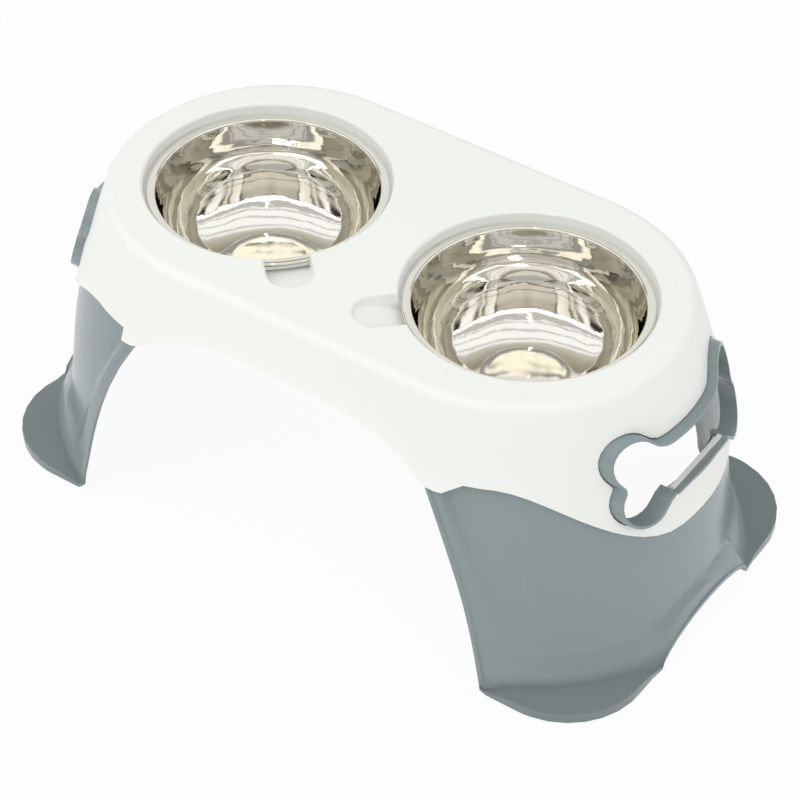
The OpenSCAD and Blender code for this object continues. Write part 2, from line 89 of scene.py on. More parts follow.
# Plastic: its refraction, the strength of its grain, and how much of a slow wave lies under it
PLASTIC_IOR = 1.49
GRAIN_STRENGTH = 0.5
WAVINESS = 0.6

# The greyer band of the steel, a painted darker reflection under the rim: how far its lower and
# upper edges fade, and how dark it is
PAINTED_BAND_FADE_LOW = 5 * MM
PAINTED_BAND_FADE_HIGH = -1.5 * MM
PAINTED_BAND_TONE = 0.62

# Steel bowls: rounding at the mouth, turn of the rolled edge, and steps of the curves
MOUTH_ROUND = 1.6 * MM
MOUTH_STEPS = 6
CORNER_STEPS = 32
CURL_STEPS = 12
CURL_TURN = math.radians(250)

# Pads
PAD_SEGMENTS = 48
PAD_EDGE = 0.3 * MM
PAD_EDGE_STEPS = 3
PAD_EDGE_ANGLE = math.radians(60)
PAD_RINGS = 2
PAD_RING_SHARE = 0.25
PAD_ROUGHNESS = 0.75
FACES_DOWN = -0.9

# Lamps: where they point, and their places and sizes
LAMP_AIM = (0, 0, 0.12)
KEY_PLACE = (-0.9, -1.1, 1.7)
KEY_SIZE = 1.4
FILL_PLACE = (1.6, -0.3, 1.0)
FILL_SIZE = 1.2
STRIP_PLACE = (0.33, -0.48, 1.95)
STRIP_WIDTH = 25 * MM
STRIP_LENGTH = 400 * MM

# Half the side of the floor, in metres
FLOOR_HALF = 6

# The camera: how far it is moved in its own plane, its sensor in millimetres, and its clipping
CAMERA_RIGHT = 2.8 * MM
CAMERA_DOWN = 100.5 * MM
SENSOR_WIDTH = 36
CLIP_NEAR = 0.05
CLIP_FAR = 50

# The studio in the world: how its tones bow and wander, and where they start
TONE_BOW = 0.7
TONE_DRIFT = 0.08
TONE_DRIFT_SCALE = 2.6
OVERHEAD_SHIFT = -0.04
ACROSS_SHIFT = 0.46


class FinishSettings(bpy.types.PropertyGroup):
    """Colours and textures of the pieces."""

    shell_colour: FloatVectorProperty(
        name="Shell colour",
        description="Colour of the moulded deck and skirt",
        subtype="COLOR",
        size=3,
        min=0,
        max=1,
        default=(0.915, 0.932, 0.895),
    )
    leg_colour: FloatVectorProperty(
        name="Leg colour",
        description="Colour of the moulded end legs",
        subtype="COLOR",
        size=3,
        min=0,
        max=1,
        default=(0.262, 0.314, 0.325),
    )
    steel_colour: FloatVectorProperty(
        name="Steel colour",
        description="Tint of the polished steel",
        subtype="COLOR",
        size=3,
        min=0,
        max=1,
        default=(0.92, 0.905, 0.85),
    )
    pad_colour: FloatVectorProperty(
        name="Pad colour",
        description="Colour of the non-slip pads",
        subtype="COLOR",
        size=3,
        min=0,
        max=1,
        default=(0.55, 0.55, 0.53),
    )
    plastic_roughness: FloatProperty(
        name="Plastic roughness",
        description="Gloss of the moulded plastic",
        subtype="FACTOR",
        min=0,
        max=1,
        default=0.42,
    )
    leg_roughness: FloatProperty(
        name="Leg roughness",
        description="Gloss of the end legs, a little brighter than the shell",
        subtype="FACTOR",
        min=0,
        max=1,
        default=0.22,
    )
    # Painted shade on the foot flanges, where the leg wall shades them
    painted_foot_shade: FloatProperty(
        name="Painted foot shade",
        description="How much painted shade darkens the foot flanges, where the leg wall shades them",
        subtype="FACTOR",
        min=0,
        max=1,
        default=0.22,
    )
    steel_roughness: FloatProperty(
        name="Steel roughness",
        description="Gloss of the steel",
        subtype="FACTOR",
        min=0,
        max=1,
        default=0.035,
    )
    edge_round: FloatProperty(
        name="Edge rounding",
        description="Width of the softened edges of the moulded pieces",
        subtype="DISTANCE",
        unit="LENGTH",
        min=0,
        default=0.5 * MM,
    )


class BowlSettings(bpy.types.PropertyGroup):
    """Shape of the visible steel bowls."""

    steel: FloatProperty(
        name="Steel thickness",
        description="Thickness of the sheet",
        subtype="DISTANCE",
        unit="LENGTH",
        default=0.95 * MM,
    )
    rim: FloatProperty(
        name="Rim width",
        description="Width of the flat rim with its curl",
        subtype="DISTANCE",
        unit="LENGTH",
        default=6 * MM,
    )
    curl: FloatProperty(
        name="Curl radius",
        description="Radius of the rolled edge of the rim",
        subtype="DISTANCE",
        unit="LENGTH",
        default=1.05 * MM,
    )
    wall_in: FloatProperty(
        name="Wall draft",
        description="How far the wall leans in between rim and corner",
        subtype="DISTANCE",
        unit="LENGTH",
        default=7.9 * MM,
    )
    corner: FloatProperty(
        name="Corner radius",
        description="Radius of the deep curve from the wall to the small flat floor",
        subtype="DISTANCE",
        unit="LENGTH",
        default=46 * MM,
    )
    # Painted reflection: the greyer band darkens the steel's colour under the rim
    painted_band: FloatProperty(
        name="Painted band height",
        description="How far the greyer band reaches down from the rim",
        subtype="DISTANCE",
        unit="LENGTH",
        default=27 * MM,
    )
    segments: IntProperty(
        name="Segments",
        description="Faces round a bowl",
        min=24,
        default=160,
    )


class StageSettings(bpy.types.PropertyGroup):
    """Floor, light and camera."""

    floor_colour: FloatVectorProperty(
        name="Floor colour",
        description="Colour of the floor",
        subtype="COLOR",
        size=3,
        min=0,
        max=1,
        default=(0.86, 0.86, 0.86),
    )
    background_share: FloatProperty(
        name="Background share",
        description="How much of the floor shows as plain white; the rest shows the shadow",
        subtype="FACTOR",
        min=0,
        max=1,
        default=0.94,
    )
    world_level: FloatProperty(
        name="World level",
        description="Level of the even light from all round",
        min=0,
        default=0.74,
    )
    key_power: FloatProperty(
        name="Key power",
        description="Power of the large lamp above the front left",
        subtype="POWER",
        unit="POWER",
        min=0,
        default=11,
    )
    fill_power: FloatProperty(
        name="Fill power",
        description="Power of the lamp on the right",
        subtype="POWER",
        unit="POWER",
        min=0,
        default=4.4,
    )
    strip_power: FloatProperty(
        name="Strip power",
        description="Power of the narrow lamp above the camera",
        subtype="POWER",
        unit="POWER",
        min=0,
        default=0.8,
    )
    camera_turn: FloatProperty(
        name="Camera azimuth",
        description="Turn of the camera from the front towards the right",
        subtype="ANGLE",
        default=math.radians(34.369),
    )
    camera_rise: FloatProperty(
        name="Camera elevation",
        description="Height angle of the camera",
        subtype="ANGLE",
        default=math.radians(41.937),
    )
    camera_roll: FloatProperty(
        name="Camera roll",
        description="Roll of the camera about its own axis",
        subtype="ANGLE",
        default=math.radians(0.503),
    )
    camera_distance: FloatProperty(
        name="Camera distance",
        description="Distance from the deck to the camera",
        subtype="DISTANCE",
        unit="LENGTH",
        default=1.86296,
    )
    lens: FloatProperty(
        name="Lens",
        description="Focal length on a sensor 36 mm wide, in millimetres",
        default=130.877,
    )


# Node helpers


def add_node(tree, kind, place, **values):
    """A node of that kind; values set its properties, or its inputs by socket name."""
    node = tree.nodes.new(kind)
    node.location = place
    for key, value in values.items():
        name = key.replace("_", " ")
        if name in node.inputs:
            node.inputs[name].default_value = value
        else:
            setattr(node, key, value)
    return node


def add_values(node, **values):
    """Sets inputs of a node by socket name, with _ for a space."""
    for key, value in values.items():
        node.inputs[key.replace("_", " ")].default_value = value


def link(tree, source, target):
    """Joins an output socket to an input socket."""
    tree.links.new(source, target)


def calculate(tree, operation, place, *terms):
    """The result of a math node; each term is a number or the socket that gives it."""
    node = add_node(tree, "ShaderNodeMath", place, operation=operation)
    for socket, term in zip(node.inputs, terms):
        if isinstance(term, (int, float)):
            socket.default_value = term
        else:
            link(tree, term, socket)
    return node.outputs[0]


def remap(tree, place, value, **values):
    """A value carried from one range to another; values set the node as in add_node."""
    node = add_node(tree, "ShaderNodeMapRange", place, **values)
    link(tree, value, node.inputs["Value"])
    return node.outputs[0]


def scaled(tree, place, colour, factor):
    """A colour times a factor."""
    node = add_node(tree, "ShaderNodeVectorMath", place, operation="SCALE")
    link(tree, colour, node.inputs[0])
    link(tree, factor, node.inputs["Scale"])
    return node.outputs[0]


def new_group(name, inputs, outputs):
    """An empty shader group with named sockets, and its input and output nodes."""
    group = bpy.data.node_groups.new(name, "ShaderNodeTree")
    for label, kind, value in inputs:
        socket = group.interface.new_socket(name=label, in_out="INPUT", socket_type=kind)
        if value is not None:
            socket.default_value = value
    for label, kind in outputs:
        group.interface.new_socket(name=label, in_out="OUTPUT", socket_type=kind)
    inp = add_node(group, "NodeGroupInput", (-900, 0))
    out = add_node(group, "NodeGroupOutput", (700, 0))
    return group, inp, out


def moulded_group():
    """Fine texture, slow unevenness, light dust in the gloss, and painted shade on the feet of
    moulded plastic.
    """
    name = "moulded_surface"
    if name in bpy.data.node_groups:
        return bpy.data.node_groups[name]
    group, inp, out = new_group(
        name,
        [
            ("Vector", "NodeSocketVector", None),
            ("Colour", "NodeSocketColor", (0.8, 0.8, 0.8, 1)),
            ("Grain Scale", "NodeSocketFloat", 1500.0),
            ("Roughness", "NodeSocketFloat", 0.4),
            ("Variation", "NodeSocketFloat", 0.03),
            # Painted shade on the feet
            ("Foot Shade", "NodeSocketFloat", 0.0),
        ],
        [
            ("Colour", "NodeSocketColor"),
            ("Roughness", "NodeSocketFloat"),
            ("Height", "NodeSocketFloat"),
        ],
    )
    grain = add_node(group, "ShaderNodeTexNoise", (-600, 300), Detail=3.0, Roughness=0.6)
    flow = add_node(group, "ShaderNodeTexNoise", (-600, 0), Scale=FLOW_SCALE, Detail=2.0)
    dust = add_node(group, "ShaderNodeTexNoise", (-600, -300), Scale=DUST_SCALE, Detail=6.0)
    add_values(dust, Roughness=0.7)
    for node in (grain, flow, dust):
        link(group, inp.outputs["Vector"], node.inputs["Vector"])
    link(group, inp.outputs["Grain Scale"], grain.inputs["Scale"])
    # Slow lightening and darkening of the colour
    spread = calculate(group, "MULTIPLY_ADD", (-380, 60), flow.outputs["Fac"], 2.0, -1.0)
    factor = calculate(
        group, "MULTIPLY_ADD", (-200, 60), spread, inp.outputs["Variation"], 1.0
    )
    tone = scaled(group, (0, 160), inp.outputs["Colour"], factor)
    # Painted shade darkens the lowest part near the ground, where the leg wall shades the foot
    # flange
    parts = add_node(group, "ShaderNodeSeparateXYZ", (-380, 600))
    link(group, inp.outputs["Vector"], parts.inputs[0])
    near = remap(
        group,
        (-200, 600),
        parts.outputs["Z"],
        interpolation_type="SMOOTHSTEP",
        From_Min=PAINTED_SHADE_LOW,
        From_Max=PAINTED_SHADE_HIGH,
        To_Min=1.0,
        To_Max=0.0,
    )
    shade = calculate(group, "MULTIPLY", (0, 600), near, inp.outputs["Foot Shade"])
    rest = calculate(group, "SUBTRACT", (200, 600), 1.0, shade)
    link(group, scaled(group, (400, 300), tone, rest), out.inputs["Colour"])
    # Dust and handling make the gloss uneven
    wear = remap(
        group,
        (-380, -300),
        dust.outputs["Fac"],
        From_Min=0.35,
        From_Max=0.75,
        To_Min=-0.04,
        To_Max=0.08,
    )
    rough = calculate(group, "ADD", (0, -200), inp.outputs["Roughness"], wear)
    link(group, rough, out.inputs["Roughness"])
    # Height of the moulded grain over a slow waviness
    wave = calculate(
        group, "MULTIPLY_ADD", (0, 420), flow.outputs["Fac"], WAVINESS, grain.outputs["Fac"]
    )
    link(group, wave, out.inputs["Height"])
    return group


def new_material(name):
    """A node material with its surface shader, output and object coordinates."""
    material = bpy.data.materials.new(name)
    material.use_nodes = True
    tree = material.node_tree
    tree.nodes.clear()
    out = add_node(tree, "ShaderNodeOutputMaterial", (500, 0))
    shader = add_node(tree, "ShaderNodeBsdfPrincipled", (200, 0))
    link(tree, shader.outputs[0], out.inputs["Surface"])
    coords = add_node(tree, "ShaderNodeTexCoord", (-900, 0))
    return material, tree, shader, coords.outputs["Object"]


def moulded_material(name, colour, roughness, variation, grain_mm, depth_mm, painted_foot_shade=0.0):
    """Satin plastic: the moulded surface group in a plain surface shader, with painted shade on
    the feet where asked.
    """
    material, tree, shader, coords = new_material(name)
    group = add_node(tree, "ShaderNodeGroup", (-500, 0))
    group.node_tree = moulded_group()
    add_values(
        group,
        Colour=(*colour, 1),
        Grain_Scale=1 / (grain_mm * MM),
        Roughness=roughness,
        Variation=variation,
        Foot_Shade=painted_foot_shade,
    )
    link(tree, coords, group.inputs["Vector"])
    link(tree, group.outputs["Colour"], shader.inputs["Base Color"])
    link(tree, group.outputs["Roughness"], shader.inputs["Roughness"])
    bump = add_node(tree, "ShaderNodeBump", (-100, -300), Strength=GRAIN_STRENGTH)
    add_values(bump, Distance=depth_mm * MM)
    link(tree, group.outputs["Height"], bump.inputs["Height"])
    link(tree, bump.outputs[0], shader.inputs["Normal"])
    add_values(shader, IOR=PLASTIC_IOR)
    return material


def spun_steel_group():
    """Waves and fine rings from spinning about the vertical axis, dents, smears, scratches, and a
    painted darker reflection under the rim.
    """
    name = "spun_steel"
    if name in bpy.data.node_groups:
        return bpy.data.node_groups[name]
    group, inp, out = new_group(
        name,
        [
            ("Vector", "NodeSocketVector", None),
            ("Colour", "NodeSocketColor", (0.8, 0.8, 0.8, 1)),
            ("Roughness", "NodeSocketFloat", 0.035),
            ("Band Low", "NodeSocketFloat", 0.0),
            ("Band High", "NodeSocketFloat", 1.0),
        ],
        [
            ("Colour", "NodeSocketColor"),
            ("Roughness", "NodeSocketFloat"),
            ("Normal", "NodeSocketVector"),
        ],
    )
    # A greyer band under the rim, painted into the steel's colour to stand in for darker
    # reflections there
    parts = add_node(group, "ShaderNodeSeparateXYZ", (-600, 1000))
    link(group, inp.outputs["Vector"], parts.inputs[0])
    edges = []
    for limit, fade, place in (
        ("Band Low", PAINTED_BAND_FADE_LOW, 1100),
        ("Band High", PAINTED_BAND_FADE_HIGH, 900),
    ):
        end = calculate(group, "ADD", (-600, place + 200), inp.outputs[limit], fade)
        edge = add_node(
            group, "ShaderNodeMapRange", (-350, place), interpolation_type="SMOOTHSTEP"
        )
        link(group, parts.outputs["Z"], edge.inputs["Value"])
        link(group, inp.outputs[limit], edge.inputs["From Min"])
        link(group, end, edge.inputs["From Max"])
        edges.append(edge.outputs[0])
    painted_band = calculate(group, "MULTIPLY", (-150, 1000), *edges)
    factor = remap(group, (50, 1000), painted_band, To_Min=1.0, To_Max=PAINTED_BAND_TONE)
    tone = scaled(group, (250, 900), inp.outputs["Colour"], factor)
    link(group, tone, out.inputs["Colour"])
    # Fine rings, and soft waves down the wall and across the floor that wander a little
    rings = add_node(group, "ShaderNodeTexWave", (-600, 500), wave_type="RINGS")
    rings.rings_direction = "Z"
    add_values(rings, Scale=RING_SCALE, Distortion=1.2, Detail=3.0)
    waves = add_node(group, "ShaderNodeTexWave", (-600, 200), wave_type="RINGS")
    waves.rings_direction = "SPHERICAL"
    add_values(waves, Scale=WAVE_SCALE, Distortion=3.0, Detail=1.5, Detail_Scale=1.6)
    dents = add_node(group, "ShaderNodeTexNoise", (-600, -100), Scale=DENT_SCALE, Detail=1.0)
    smears = add_node(group, "ShaderNodeTexNoise", (-600, -350), Scale=SMEAR_SCALE, Detail=5.0)
    add_values(smears, Roughness=0.6)
    hairs = add_node(group, "ShaderNodeTexVoronoi", (-600, -600), feature="DISTANCE_TO_EDGE")
    add_values(hairs, Scale=HAIR_SCALE)
    for node in (rings, waves, dents, smears, hairs):
        link(group, inp.outputs["Vector"], node.inputs["Vector"])
    # Smears and hairline scratches are rougher than the polish
    scratch = remap(
        group,
        (-350, -600),
        hairs.outputs["Distance"],
        From_Min=0.0,
        From_Max=0.006,
        To_Min=0.12,
        To_Max=0.0,
    )
    smear = remap(
        group,
        (-350, -350),
        smears.outputs["Fac"],
        From_Min=0.35,
        From_Max=0.8,
        To_Min=0.6,
        To_Max=1.8,
    )
    rough = calculate(
        group, "MULTIPLY_ADD", (-100, -400), smear, inp.outputs["Roughness"], scratch
    )
    link(group, rough, out.inputs["Roughness"])
    # Rings, waves and dents bend the normal, one bump after another
    normal = None
    for source, depth_mm, strength in (
        (rings, 0.02, 0.12),
        (waves, 0.045, 0.5),
        (dents, 1.0, 0.3),
    ):
        place = (-300, 500 - 1000 * strength)
        bump = add_node(group, "ShaderNodeBump", place, Strength=strength)
        add_values(bump, Distance=depth_mm * MM)
        link(group, source.outputs["Fac"], bump.inputs["Height"])
        if normal:
            link(group, normal, bump.inputs["Normal"])
        normal = bump.outputs[0]
    link(group, normal, out.inputs["Normal"])
    return group


def steel_material(name, colour, roughness, centre, painted_band):
    """Polished steel of one bowl, its spinning marks centred on the bowl, with a painted darker
    reflection band under the rim.
    """
    material, tree, shader, coords = new_material(name)
    mapping = add_node(tree, "ShaderNodeMapping", (-700, 0))
    add_values(mapping, Location=(-centre.x, -centre.y, 0))
    link(tree, coords, mapping.inputs["Vector"])
    group = add_node(tree, "ShaderNodeGroup", (-400, 0))
    group.node_tree = spun_steel_group()
    add_values(
        group,
        Colour=(*colour, 1),
        Roughness=roughness,
        Band_Low=painted_band[0],
        Band_High=painted_band[1],
    )
    link(tree, mapping.outputs[0], group.inputs["Vector"])
    link(tree, group.outputs["Colour"], shader.inputs["Base Color"])
    link(tree, group.outputs["Roughness"], shader.inputs["Roughness"])
    link(tree, group.outputs["Normal"], shader.inputs["Normal"])
    add_values(shader, Metallic=1.0)
    return material


# Mesh helpers


def object_from(mesh_maker, name, material, body, replaced):
    """A new mesh object of that name, riding on a body and standing for a node of the frame."""
    mesh = bpy.data.meshes.new(name)
    shape = bmesh.new()
    mesh_maker(shape)
    shape.to_mesh(mesh)
    shape.free()
    mesh.materials.append(material)
    piece = bpy.data.objects.new(name, mesh)
    bpy.context.scene.collection.objects.link(piece)
    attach(piece, body)
    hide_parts(replaced)
    return piece


def merged_copy(node):
    """A maker that fills a bmesh with a node's mesh, its triangles joined into faces."""

    def fill(shape):
        shape.from_mesh(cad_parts[node].data)
        for layer in list(shape.loops.layers.uv):
            shape.loops.layers.uv.remove(layer)
        bmesh.ops.remove_doubles(shape, verts=shape.verts, dist=JOIN_DISTANCE)
        bmesh.ops.dissolve_limit(
            shape, angle_limit=FLAT_ANGLE, verts=shape.verts, edges=shape.edges
        )
        # Joining leaves triangles without area, which would tear the softened edges
        bmesh.ops.dissolve_degenerate(shape, dist=JOIN_DISTANCE, edges=shape.edges)

    return fill


def soften(piece, width):
    """Small rounded edges, and shading that keeps the flat faces flat."""
    bevel = piece.modifiers.new("soft_edges", "BEVEL")
    bevel.width = width
    bevel.segments = SOFT_STEPS
    bevel.limit_method = "ANGLE"
    bevel.angle_limit = SOFT_ANGLE
    bevel.miter_outer = "MITER_ARC"
    bevel.harden_normals = False
    shading = piece.modifiers.new("even_shading", "WEIGHTED_NORMAL")
    shading.mode = "FACE_AREA_WITH_ANGLE"
    shading.weight = SOFT_WEIGHT
    shading.keep_sharp = True


def shade_smooth(piece, angle):
    """Smooth shading with sharp edges above an angle in degrees."""
    for face in piece.data.polygons:
        face.use_smooth = True
    piece.data.set_sharp_from_angle(angle=math.radians(angle))


def spin_full(shape, segments, centre):
    """Turns the profile in the bmesh into a closed surface of revolution about a vertical axis."""
    bmesh.ops.spin(
        shape,
        geom=shape.verts[:] + shape.edges[:],
        cent=centre,
        axis=(0, 0, 1),
        angle=math.tau,
        steps=segments,
        use_merge=True,
    )
    bmesh.ops.remove_doubles(shape, verts=shape.verts, dist=JOIN_DISTANCE)


def chain(shape, points):
    """A row of joined points."""
    verts = [shape.verts.new(p) for p in points]
    for a, b in zip(verts, verts[1:]):
        shape.edges.new((a, b))
    return verts


def round_corner(shape, vert, reach, segments):
    """Rounds a corner of a profile, starting that far from it along both of its sides."""
    bmesh.ops.bevel(
        shape,
        geom=[vert],
        offset=reach,
        offset_type="OFFSET",
        segments=segments,
        profile=0.5,
        affect="VERTICES",
        material=-1,
    )


# Operators


class STAND_OT_shell(bpy.types.Operator):
    """Finish the white shell with its seats, finger recesses and hand holes"""

    bl_idname = "stand.shell"
    bl_label = "Shell"

    def execute(self, context):
        look = context.scene.stand_finish
        material = moulded_material(
            "satin_white_plastic",
            look.shell_colour,
            look.plastic_roughness,
            variation=0.012,
            grain_mm=0.55,
            depth_mm=0.03,
        )
        piece = object_from(
            merged_copy("shell"), "shell_moulding", material, "stand", "shell"
        )
        shade_smooth(piece, MOULDED_SHARP)
        soften(piece, look.edge_round)
        return {"FINISHED"}


class STAND_OT_legs(bpy.types.Operator):
    """Finish the two grey end legs with the rims of their hand holes"""

    bl_idname = "stand.legs"
    bl_label = "End legs"

    def execute(self, context):
        look = context.scene.stand_finish
        material = moulded_material(
            "satin_grey_plastic",
            look.leg_colour,
            look.leg_roughness,
            variation=0.03,
            grain_mm=0.6,
            depth_mm=0.02,
            # Painted shade on the foot flanges
            painted_foot_shade=look.painted_foot_shade,
        )
        for node in ("leg_left", "leg_right"):
            piece = object_from(
                merged_copy(node), node + "_moulding", material, "stand", node
            )
            shade_smooth(piece, MOULDED_SHARP)
            soften(piece, look.edge_round)
        return {"FINISHED"}


class STAND_OT_bowls(bpy.types.Operator):
    """Spin the two polished steel bowls"""

    bl_idname = "stand.bowls"
    bl_label = "Steel bowls"

    def execute(self, context):
        look = context.scene.stand_finish
        form = context.scene.stand_bowls
        for node, low, high in (
            ("bowl_left", LEFT_LOW, LEFT_HIGH),
            ("bowl_right", RIGHT_LOW, RIGHT_HIGH),
        ):
            centre = (low + high) / 2
            centre.z = 0

            def fill(shape):
                """The profile from the floor's middle to the rolled edge, spun and thickened."""
                mouth = BOWL_R - form.rim
                floor = RIM_H - BOWL_DEPTH + form.steel
                curl_x = BOWL_R - form.curl
                verts = chain(
                    shape,
                    [
                        (centre.x, 0, floor),
                        (centre.x + mouth - form.wall_in, 0, floor),
                        (centre.x + mouth, 0, RIM_H),
                        (centre.x + curl_x, 0, RIM_H),
                    ],
                )
                turn = math.pi / 2 - math.atan2(form.wall_in, BOWL_DEPTH)
                round_corner(shape, verts[1], form.corner * math.tan(turn / 2), CORNER_STEPS)
                round_corner(shape, verts[2], MOUTH_ROUND, MOUTH_STEPS)
                edge = max(shape.verts, key=lambda v: v.co.x)
                bmesh.ops.spin(
                    shape,
                    geom=[edge],
                    cent=(centre.x + curl_x, 0, RIM_H - form.curl),
                    axis=(0, 1, 0),
                    angle=CURL_TURN,
                    steps=CURL_STEPS,
                )
                spin_full(shape, form.segments, centre)
                bmesh.ops.recalc_face_normals(shape, faces=shape.faces)
                bmesh.ops.solidify(shape, geom=shape.faces[:], thickness=form.steel)

            # Painted reflection: a greyer band of steel colour under the rim
            painted_band = (RIM_H - form.painted_band, RIM_H - form.curl)
            material = steel_material(
                node + "_steel", look.steel_colour, look.steel_roughness, centre, painted_band
            )
            piece = object_from(fill, node + "_spun", material, node, node)
            shade_smooth(piece, SPUN_SHARP)
        return {"FINISHED"}


class STAND_OT_pads(bpy.types.Operator):
    """Mould the four round non-slip pads"""

    bl_idname = "stand.pads"
    bl_label = "Non-slip pads"

    def execute(self, context):
        look = context.scene.stand_finish
        material = moulded_material(
            "soft_rubber",
            look.pad_colour,
            PAD_ROUGHNESS,
            variation=0.04,
            grain_mm=0.8,
            depth_mm=0.08,
        )
        for node in ("pad_front_left", "pad_front_right", "pad_back_left", "pad_back_right"):
            low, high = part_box(node)
            centre = (low + high) / 2
            radius = (high.x - low.x) / 2

            def fill(shape):
                """A round plug with two rings on its underside and softened edges."""
                bmesh.ops.create_circle(
                    shape,
                    cap_ends=True,
                    segments=PAD_SEGMENTS,
                    radius=radius,
                    matrix=Matrix.Translation((centre.x, centre.y, high.z)),
                )
                grown = bmesh.ops.extrude_face_region(shape, geom=shape.faces[:])
                moved = [v for v in grown["geom"] if isinstance(v, bmesh.types.BMVert)]
                bmesh.ops.translate(shape, verts=moved, vec=(0, 0, low.z - high.z))
                bmesh.ops.recalc_face_normals(shape, faces=shape.faces)
                under = [f for f in shape.faces if f.normal.z < FACES_DOWN]
                for _ring in range(PAD_RINGS):
                    bmesh.ops.inset_region(
                        shape, faces=under, thickness=radius * PAD_RING_SHARE, depth=0
                    )
                rim = [e for e in shape.edges if e.calc_face_angle(0) > PAD_EDGE_ANGLE]
                bmesh.ops.bevel(
                    shape,
                    geom=rim,
                    offset=PAD_EDGE,
                    offset_type="OFFSET",
                    segments=PAD_EDGE_STEPS,
                    profile=0.5,
                    affect="EDGES",
                    material=-1,
                )

            piece = object_from(fill, node + "_rubber", material, "stand", node)
            shade_smooth(piece, SPUN_SHARP)
        return {"FINISHED"}


def ramp_stops(node, stops):
    """Sets the stops of a colour ramp: place, then red, green, blue and alpha."""
    ramp = node.color_ramp
    while len(ramp.elements) > 1:
        ramp.elements.remove(ramp.elements[-1])
    for number, (place, colour) in enumerate(stops):
        stop = ramp.elements[0] if number == 0 else ramp.elements.new(place)
        stop.position = place
        stop.color = colour


def tones_across():
    """Tones from left to right in front of the object, as metal reflects them."""
    white, cream, brown = (1.05, 1.04, 0.99, 1), (0.84, 0.8, 0.69, 1), (0.48, 0.45, 0.37, 1)
    dark, shade = (0.04, 0.036, 0.03, 1), (0.14, 0.12, 0.09, 1)
    tan, umber = (0.56, 0.52, 0.43, 1), (0.46, 0.42, 0.34, 1)
    half = (
        (0.0, white), (0.02, dark), (0.04, cream), (0.06, dark), (0.08, dark),
        (0.095, white), (0.12, white), (0.14, shade), (0.16, cream), (0.185, shade),
        (0.2, cream), (0.262, white), (0.274, shade), (0.29, brown), (0.44, tan),
    )
    mirrored = tuple((1 - share, colour) for share, colour in reversed(half))
    return half + ((0.5, umber),) + mirrored


def tones_overhead():
    """Tones from the camera's side over the top to behind; alpha covers those across."""
    white, cream, grey = (1.02, 1.02, 1.02, 1), (0.83, 0.79, 0.69, 1), (0.6, 0.6, 0.58, 1)
    dark, stone, rim = (0.1, 0.09, 0.08, 0.9), (0.6, 0.57, 0.5, 1), (0.8, 0.8, 0.78, 1)
    strip, soft, brown = (1.9, 1.82, 1.62, 1), (0.56, 0.55, 0.53, 1), (0.3, 0.27, 0.2, 1)
    night, gone, clear = (0.2, 0.21, 0.25, 1), (*cream[:3], 0.0), (*dark[:3], 0.0)
    dusk, light, pale = (*dark[:3], 0.5), (*cream[:3], 0.7), (*cream[:3], 0.48)
    return (
        (0.0, dark), (0.045, dark), (0.07, clear), (0.1, clear), (0.11, dark),
        (0.118, light), (0.13, pale), (0.155, pale), (0.163, dusk), (0.171, pale),
        (0.2, pale), (0.25, gone), (0.3, clear), (0.308, night), (0.316, strip),
        (0.345, strip), (0.36, soft), (0.4, soft), (0.41, white), (0.425, grey),
        (0.44, white), (0.49, white), (0.505, grey), (0.52, white), (0.57, white),
        (0.59, grey), (0.61, white), (0.64, stone), (0.74, brown), (0.76, rim),
        (0.85, rim), (1.0, cream),
    )


def area_lamp(name, place, size, power):
    """A square lamp that points at the stand and isn't seen in the steel."""
    data = bpy.data.lights.new(name, "AREA")
    data.shape = "SQUARE"
    data.size = size
    data.energy = power
    lamp = bpy.data.objects.new(name, data)
    lamp.location = place
    lamp.rotation_euler = (Vector(LAMP_AIM) - Vector(place)).to_track_quat("-Z", "Y").to_euler()
    lamp.visible_glossy = False
    bpy.context.scene.collection.objects.link(lamp)
    return lamp


def camera_matrix(stage, target):
    """Place and turn of the camera, which stands on the photograph's side."""
    a, e, r = stage.camera_turn, stage.camera_rise, stage.camera_roll
    back = Vector((math.sin(a) * math.cos(e), -math.cos(a) * math.cos(e), math.sin(e)))
    right = Vector((math.cos(a), math.sin(a), 0))
    up = back.cross(right)
    right, up = right * math.cos(r) + up * math.sin(r), up * math.cos(r) - right * math.sin(r)
    place = Vector(target) + back * stage.camera_distance + right * CAMERA_RIGHT - up * CAMERA_DOWN
    turn = Matrix((right, up, back)).transposed().to_4x4()
    turn.translation = place
    return turn


